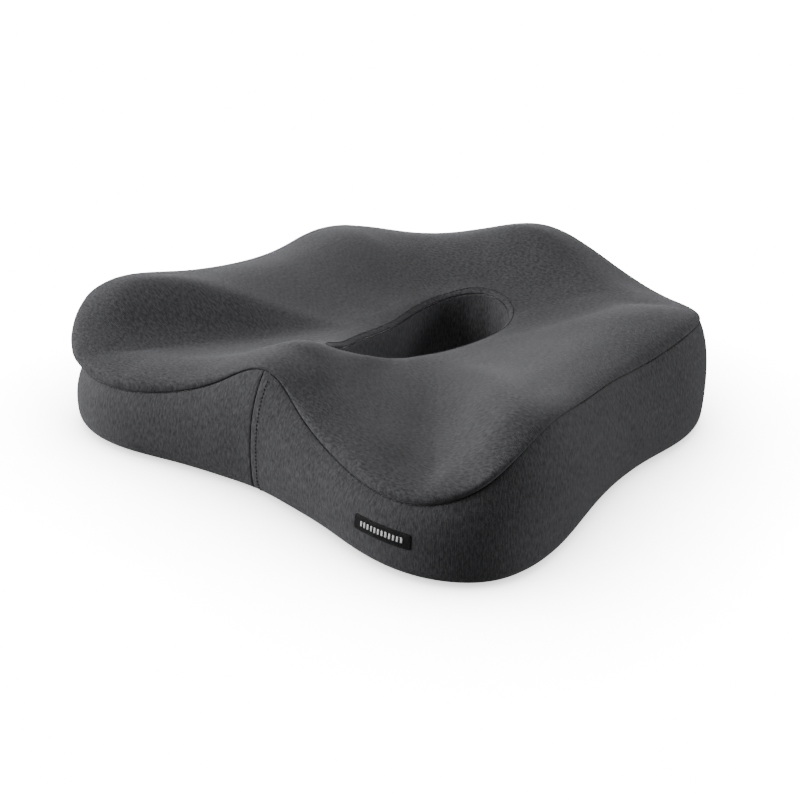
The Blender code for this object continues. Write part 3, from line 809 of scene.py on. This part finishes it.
def all_stitches(surfaces):
    tree = tree_of(surfaces)
    fine = np.linspace(0, 1, 1200, endpoint=False)
    rise = np.linspace(0.02, 0.97, 40)
    for name, share, offset in (("front_topstitch", 0.0, FRONT_OFFSET),
                                ("rear_topstitch_right", REAR_SHARE, REAR_OFFSET),
                                ("rear_topstitch_left", 1 - REAR_SHARE, -REAR_OFFSET)):
        near = np.full(1, share + offset / EDGE.knots[-1])
        up = [foot(near, 45)[0]] + [wall_up(near, part)[0] for part in rise]
        stitches(name, up, tree)
    stitches("rim_topstitch", rim_edge(fine, 80), tree, closed=True)
    stitches("top_seam_thread", shoulder(fine, 0), tree, radius=0.22, lift=-0.05, closed=True)
    stitches("rim_seam_thread", rim_edge(fine, RIM_SEAM_DEGREES), tree, radius=0.22, lift=-0.05,
             closed=True)
    rear = np.linspace(REAR_SHARE + 0.004, 1 - REAR_SHARE - 0.004, 200)
    for name, height in (("zip_stitch_lower", ZIP_HEIGHT - SLOT_HALF - SLOT_OFFSET),
                         ("zip_stitch_upper", ZIP_HEIGHT + SLOT_HALF + SLOT_OFFSET)):
        stitches(name, wall(rear, np.full(len(rear), height)), tree)


# ---------------------------------------------------------------- label, zip and grip dots
LABEL_SHARES = (0.0785, 0.1105)
LABEL_HEIGHTS = (25.0, 36.0)
LABEL_CORNER = 2.2
LABEL_RINGS = ((1.0, -0.1), (1.0, 0.35), (0.985, 0.52), (0.95, 0.58), (0.8, 0.6), (0.6, 0.6),
               (0.4, 0.6), (0.2, 0.6))      # scale and lift, from the tag's edge inwards


def on_wall(tree, share, height, lift, tag=None):
    """Points at this share and height, lifted off the fabric, or off the tag that lies on it."""
    flat = wall(np.atleast_1d(share), np.atleast_1d(height))
    out = []
    for point in flat:
        hit, normal, _, _ = tree.find_nearest(Vector(point) * MM)
        if tag:
            hit, normal, _, _ = tag.find_nearest(hit + 3 * MM * normal)
        out.append(np.array(hit) / MM + lift * np.array(normal))
    return np.array(out)


def label(tree):
    """A black satin tag with round corners, a stitched edge and a row of plain white bars."""
    middle = (LABEL_SHARES[0] + LABEL_SHARES[1]) / 2
    half = (LABEL_SHARES[1] - LABEL_SHARES[0]) / 2 * EDGE.knots[-1]
    centre, tall = sum(LABEL_HEIGHTS) / 2, (LABEL_HEIGHTS[1] - LABEL_HEIGHTS[0]) / 2
    outline = []
    for across, up, start in ((1, 1, 0), (-1, 1, 90), (-1, -1, 180), (1, -1, 270)):
        for k in range(6):
            turn = math.radians(start + 18 * k)
            outline.append((across * (half - LABEL_CORNER) + LABEL_CORNER * math.cos(turn),
                            up * (tall - LABEL_CORNER) + LABEL_CORNER * math.sin(turn)))
    outline = densify(np.array(outline))
    verts = []
    count = len(outline)
    for scale, lift in LABEL_RINGS:
        inset = outline * [1 - (1 - scale) * 0.5, scale]
        share = middle + inset[:, 0] / EDGE.knots[-1]
        verts.append(on_wall(tree, share, centre + inset[:, 1], lift + 0.05))
    faces = bands(len(LABEL_RINGS), count)
    faces.append([(len(LABEL_RINGS) - 1) * count + i for i in range(count)])
    faces.append([count - 1 - i for i in range(count)])
    tag = piece("label_tag", mesh_of("label_tag", verts, faces), LABEL_SATIN,
                replaces=["woven_label"])
    own = tree_of([tag])
    edge = outline * [(half - 1.2) / half, (tall - 1.2) / tall]
    path = on_wall(tree, middle + edge[:, 0] / EDGE.knots[-1], centre + edge[:, 1], 0, own)
    stitches("label_stitch", path, own, pitch=2.2, length=1.7, radius=0.16, lift=0.02,
             closed=True)
    bars(tree, own, middle, centre)
    return tag


def densify(outline, step=1.5):
    points = []
    for a, b in zip(outline, np.roll(outline, -1, 0)):
        parts = max(1, int(np.linalg.norm(b - a) / step))
        points += [a + (b - a) * k / parts for k in range(parts)]
    return np.array(points)


BARS = 12
BAR_PITCH = 3.1
BAR_HALF = 0.85             # half of a bar's width
BAR_TALL = 1.75             # half of its height
BAR_OUTLINE = ((-1, -1), (0, -1.15), (1, -1), (1, 1), (0, 1.15), (-1, 1))
BAR_LEVELS = ((0.0, 1.0), (0.22, 0.85), (0.3, 0.45))    # height above the tag and scale


def bars(tree, tag, middle, centre):
    """Plain upright bars of satin stitch."""
    verts, faces = [], []
    for k in range(BARS):
        at = (k - (BARS - 1) / 2) * BAR_PITCH
        ring = []
        for level, grow in BAR_LEVELS:
            for side, up in BAR_OUTLINE:
                spot = middle + (at + BAR_HALF * side * grow) / EDGE.knots[-1]
                rise = centre + BAR_TALL * up * (0.7 + 0.3 * grow)
                ring.append(on_wall(tree, spot, rise, level, tag)[0])
        first = len(verts)
        verts += ring
        faces += bands(len(BAR_LEVELS), len(BAR_OUTLINE), first)
        faces.append(list(range(len(verts) - len(BAR_OUTLINE), len(verts))))
        faces.append(list(range(first, first + len(BAR_OUTLINE)))[::-1])
    piece("label_bars", mesh_of("label_bars", verts, faces), WHITE_THREAD)


COIL_PITCH = 1.5
COIL_MIDDLE = 1.05          # how far the coil's middle stands outside the rear arc
COIL_ENDS_X = (-124.0, 117.0)
COIL_STEPS = 8              # points in each turn
COIL_DEEP = 0.46            # the wire's reach from the coil's middle, out from the arc
COIL_HIGH = 0.56            # and up and down
WIRE_RADIUS = 0.27


def coil(name, middle_z, shift, node):
    """One row of the zip: a nylon wire wound along the rear arc."""
    reach = [math.asin(x / ARC_RADIUS) for x in COIL_ENDS_X]
    turns = int((reach[1] - reach[0]) * ARC_RADIUS / COIL_PITCH)
    steps = turns * COIL_STEPS
    curve = bpy.data.curves.new(name, "CURVE")
    curve.dimensions = "3D"
    curve.bevel_depth = WIRE_RADIUS * MM
    curve.bevel_resolution = 1
    curve.use_fill_caps = True
    spline = curve.splines.new("POLY")
    spline.points.add(steps)
    for k in range(steps + 1):
        at = reach[0] + (reach[1] - reach[0]) * k / steps
        turn = 2 * math.pi * (k / COIL_STEPS + shift)
        radius = ARC_RADIUS + COIL_MIDDLE + COIL_DEEP * math.sin(turn)
        point = (radius * math.sin(at), ARC_CENTRE_Y + radius * math.cos(at),
                 middle_z + COIL_HIGH * math.cos(turn))
        spline.points[k].co = (*[v * MM for v in point], 1)
    piece(name, curve, COIL_NYLON, replaces=[node])


TAPE_END_X = 137.5          # the tapes run on under the side borders
TAPE_SUNK = 1.7             # and lie this deep under the wall where other fabric covers them
TAPE_OPEN = (131.8, 5.6)    # half length and half height of the stretch that lies open
TAPE_SLOPE = (2.0, 1.8)     # they go down over this much beyond it


def zip_tape(name, side, node):
    """One tape: open in the slot, and sewn in under its strip and the side borders."""
    rise = np.array([0.15, 2.0, 4.0, 5.6, 6.6, 7.4, 9.2, 11.0])
    heights = ZIP_HEIGHT + (rise if side > 0 else -rise[::-1])
    ends = np.linspace(TAPE_END_X, 131.5, 6)
    x = np.concatenate([ends, np.linspace(130, -130, 60), -ends[::-1]])
    open_plan = np.column_stack([x, ARC_CENTRE_Y + np.sqrt(ARC_RADIUS**2 - x**2)])
    share = np.array([share_at_rear(abs(at)) for at in x])
    share = np.where(x > 0, share, 1 - share)
    grid = []
    for height in heights:
        under_strip = (abs(height - ZIP_HEIGHT) - TAPE_OPEN[1]) / TAPE_SLOPE[1]
        under_border = (np.abs(x) - TAPE_OPEN[0]) / TAPE_SLOPE[0]
        hidden = np.clip(np.maximum(under_strip, under_border), 0, 1)[:, None]
        sewn_plan = wall(share, np.full(len(x), height))[:, :2] - TAPE_SUNK * EDGE.normals(share)
        grid.append(raised(open_plan + hidden * (sewn_plan - open_plan), height))
    cloth_piece(name, np.array(grid), TAPE_CLOTH, [node], False, False, thickness=0.5)


DOT_PITCH = 11.0
DOT_MARGIN = 7.0            # the dots keep this far from the base's edges
DOT_SIDES = 8
DOT_RINGS = ((1.7, DOT_HEIGHT + 0.05), (1.6, 0.15), (1.2, 0.0))     # radius and height


def reach_of(line):
    """A closed line's distance from the ray centre, as sorted angles and distances."""
    turn = np.arctan2(line[:, 1] - RAY_CENTRE_Y, line[:, 0])
    order = np.argsort(turn)
    return turn[order], np.hypot(line[:, 0], line[:, 1] - RAY_CENTRE_Y)[order]


def grip_dots():
    """Small rubber dots in a hexagonal pattern under the base."""
    verts, faces = [], []
    fine = np.linspace(0, 1, 720, endpoint=False)
    outer, inner = reach_of(foot(fine, 0)), reach_of(lower_rim(fine, 90))
    for row in range(-20, 21):
        for k in range(-22, 23):
            x = (k + 0.5 * (row % 2)) * DOT_PITCH
            y = row * DOT_PITCH * 0.866
            angle = math.atan2(y - RAY_CENTRE_Y, x)
            far = math.hypot(x, y - RAY_CENTRE_Y)
            if far > np.interp(angle, *outer) - DOT_MARGIN:
                continue
            if far < np.interp(angle, *inner) + DOT_MARGIN:
                continue
            first = len(verts)
            for radius, z in DOT_RINGS:
                for i in range(DOT_SIDES):
                    a = i * 2 * math.pi / DOT_SIDES
                    verts.append((x + radius * math.cos(a), y + radius * math.sin(a), z))
            faces += [face[::-1] for face in bands(len(DOT_RINGS), DOT_SIDES, first)]
            faces.append(list(range(first, first + DOT_SIDES)))
            faces.append(list(range(len(verts) - DOT_SIDES, len(verts)))[::-1])
    dots = piece("grip_dots", mesh_of("grip_dots", verts, faces), GRIP_RUBBER)
    dots.data.shade_flat()


def repaint(nodes, material):
    for node in nodes:
        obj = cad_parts[node]
        for k in range(max(1, len(obj.material_slots))):
            if len(obj.material_slots) == 0:
                obj.data.materials.append(material)
            obj.material_slots[k].material = material


# ---------------------------------------------------------------- stage
FLOOR_GLOW = 15.0           # the floor shines by this much where nothing stands near it
CONTACT_GLOW = 1.2          # and by this much right against the cushion, where the glow fades into a painted contact shadow
CONTACT_REACH = 0.14        # metres that the painted contact shadow reaches


def paper(name, scale):
    made = Nodes(name)
    grain = made.noise(made.place(), detail=2.0, scale=scale)
    made.put(made.shader, "Base Color", made.ramp(grain, [(0.3, (0.9, 0.9, 0.905)),
                                                          (0.7, (0.93, 0.93, 0.935))]))
    made.put(made.shader, "Roughness", 0.9)
    made.put(made.shader, "Emission Color", (1, 1, 1, 1))
    return made


def stage():
    """A glowing white floor whose glow is dimmed near the cushion into a soft painted contact shadow,
    and a white backdrop that only the camera sees.
    """
    made = paper("floor_paper", 40.0)
    # painted contact shadow: ambient occlusion dims the floor's glow where the cushion stands near
    near = made.add("ShaderNodeAmbientOcclusion", Distance=CONTACT_REACH)
    painted_shadow_glow = made.math("MULTIPLY", made.math("POWER", near.outputs["AO"], 3.0), FLOOR_GLOW)
    made.put(made.shader, "Emission Strength", made.math("ADD", painted_shadow_glow, CONTACT_GLOW))
    see_through(made)
    bpy.ops.mesh.primitive_plane_add(size=40, location=(0, 0, 0))
    floor = bpy.context.object
    floor.name = "floor"
    floor.data.materials.append(made.material)
    floor.visible_diffuse = False
    floor.visible_glossy = False
    bpy.ops.mesh.primitive_uv_sphere_add(segments=64, ring_count=32, radius=14)
    backdrop = bpy.context.object
    backdrop.name = "backdrop"
    white = paper("backdrop_paper", 3.0)
    white.put(white.shader, "Emission Strength", FLOOR_GLOW + CONTACT_GLOW)
    backdrop.data.materials.append(white.material)
    backdrop.visible_diffuse = backdrop.visible_glossy = backdrop.visible_shadow = False


def see_through(made):
    """The floor's underside is clear, so the cushion can be looked at from below."""
    tree = made.tree
    output = next(node for node in tree.nodes if node.type == "OUTPUT_MATERIAL")
    clear = tree.nodes.new("ShaderNodeBsdfTransparent")
    both = tree.nodes.new("ShaderNodeMixShader")
    under = tree.nodes.new("ShaderNodeNewGeometry")
    tree.links.new(under.outputs["Backfacing"], both.inputs[0])
    tree.links.new(made.shader.outputs[0], both.inputs[1])
    tree.links.new(clear.outputs[0], both.inputs[2])
    tree.links.new(both.outputs[0], output.inputs["Surface"])


def aimed(name, data, place, target):
    """A lamp or camera at a place, looking at its target."""
    obj = bpy.data.objects.new(name, data)
    obj.location = place
    obj.rotation_euler = (Vector(target) - Vector(place)).to_track_quat("-Z", "Y").to_euler()
    bpy.context.scene.collection.objects.link(obj)
    return obj


def lamp(name, place, size, power):
    light = bpy.data.lights.new(name, "AREA")
    light.energy = power
    light.size = size
    aimed(name, light, place, LAMP_TARGET)


WORLD_LIGHT = 0.23
LAMP_TARGET = (0, 0, 0.05)
CAMERA_PLACE = (0.622, -0.770, 0.469)
CAMERA_TARGET = (0.047, -0.074, 0.050)
CAMERA_LENS = 58.55


def studio():
    world = bpy.data.worlds.new("studio")
    bpy.context.scene.world = world
    world.use_nodes = True
    world.node_tree.nodes["Background"].inputs[0].default_value = (1, 1, 1, 1)
    world.node_tree.nodes["Background"].inputs[1].default_value = WORLD_LIGHT
    lamp("left", (-1.60, -0.84, 0.60), 1.6, 66)
    lamp("front_left", (-0.87, -1.50, 0.80), 0.8, 16)
    lamp("rear_left", (-1.15, 1.40, 0.60), 1.4, 30)
    lamp("rear_right", (1.42, 0.98, 0.62), 0.8, 23)
    camera = bpy.data.cameras.new("camera")
    camera.lens = CAMERA_LENS
    camera.sensor_width = 36
    bpy.context.scene.camera = aimed("camera", camera, CAMERA_PLACE, CAMERA_TARGET)


def main():
    panels = cover()
    inner_skin("liner_bag", 4.0, LINER_KNIT, ["liner_lower", "liner_upper"], 0.5)
    inner_skin("foam_block", 5.4, FOAM_CELLS, ["foam_core"], 0)
    all_stitches(panels)
    label(tree_of([obj for obj in panels if obj.name == "cover_border_right"]))
    coil("coil_lower", ZIP_HEIGHT - 1.0, 0.0, "zip_coil_lower")
    coil("coil_upper", ZIP_HEIGHT + 1.0, 0.5, "zip_coil_upper")
    zip_tape("tape_lower", -1, "zip_tape_lower")
    zip_tape("tape_upper", 1, "zip_tape_upper")
    grip_dots()
    repaint(["zip_top_stop_lower", "zip_top_stop_upper", "zip_bottom_stop", "zip_slider_body",
             "zip_slider_crown", "zip_pull_tab"], ZIP_METAL)
    stage()
    studio()


main()
